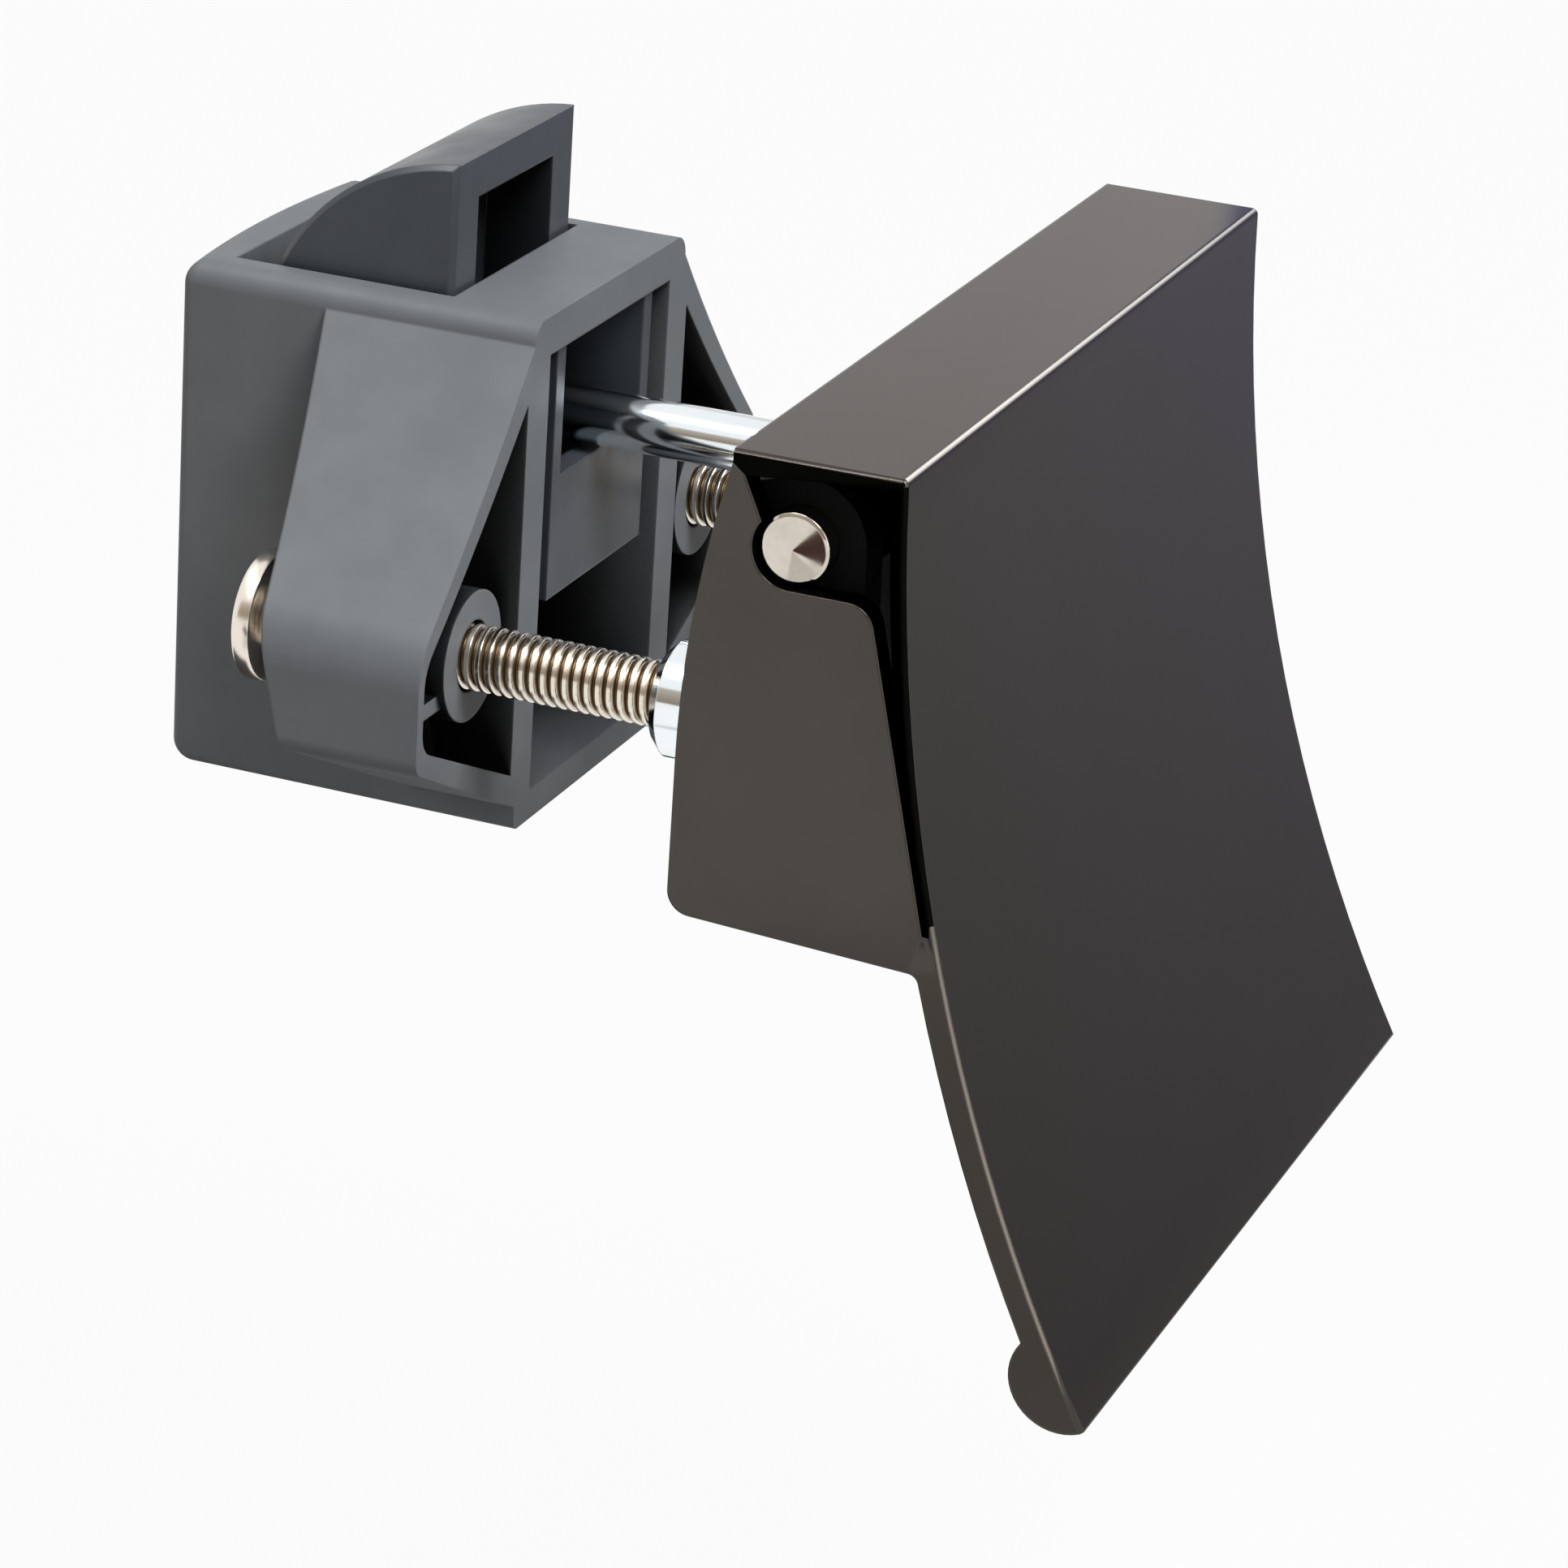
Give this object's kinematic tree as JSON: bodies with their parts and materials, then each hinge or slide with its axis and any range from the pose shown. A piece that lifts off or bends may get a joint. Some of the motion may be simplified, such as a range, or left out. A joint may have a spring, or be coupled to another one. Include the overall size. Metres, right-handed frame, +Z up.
{
  "type": "pull-handle slam latch for a cabinet door",
  "caption": "Cabinet door latch: a hinged pull handle outside drives a tongue that draws a sprung, ramped bolt down into a moulded case on the inside of the door.",
  "frame": {"origin": "on the door's outer face, midway between the two screw axes", "axes": "+Y into the cabinet, normal to the door; +Z up, the way the bolt points; X along the hinge pin"},
  "size_m": [0.0626, 0.0693, 0.0602],
  "materials": {
    "case_plastic": "slate grey, satin moulded",
    "bolt_plastic": "slate grey, satin moulded",
    "spring_steel": "drawn wire",
    "screw_nickel": "nickel plated",
    "bracket_black": "matt black",
    "bright_steel": "bright plated",
    "pin_steel": "turned",
    "handle_chrome": "polished black chrome on a zinc casting"
  },
  "bodies": {
    "body": {"lock_case": "case_plastic", "left_screw": "screw_nickel", "right_screw": "screw_nickel", "base_bracket": "bracket_black", "left_threaded_post": "bright_steel", "right_threaded_post": "bright_steel", "hinge_pin": "pin_steel", "bolt_spring": "spring_steel"},
    "handle": {"pull_handle": "handle_chrome", "tongue": "bright_steel"},
    "bolt": {"latch_bolt": "bolt_plastic"}
  },
  "joints": [
    {"name": "handle_swing", "type": "hinge", "parent": "body", "child": "handle", "pos_m": [0, -0.0063, 0.0155], "axis": [-1, 0, 0], "range_deg": [0, 16], "stiffness_Nm_per_rad": 0.12, "springref_deg": -17.19},
    {"name": "bolt_slide", "type": "slide", "parent": "body", "child": "bolt", "axis": [0, 0, -1], "range_m": [0, 0.00791], "deforming": ["bolt_spring"]}
  ],
  "couplings": [
    {"joint": "bolt_slide", "follows": "handle_swing", "m_per_rad": 0.0283}
  ]
}
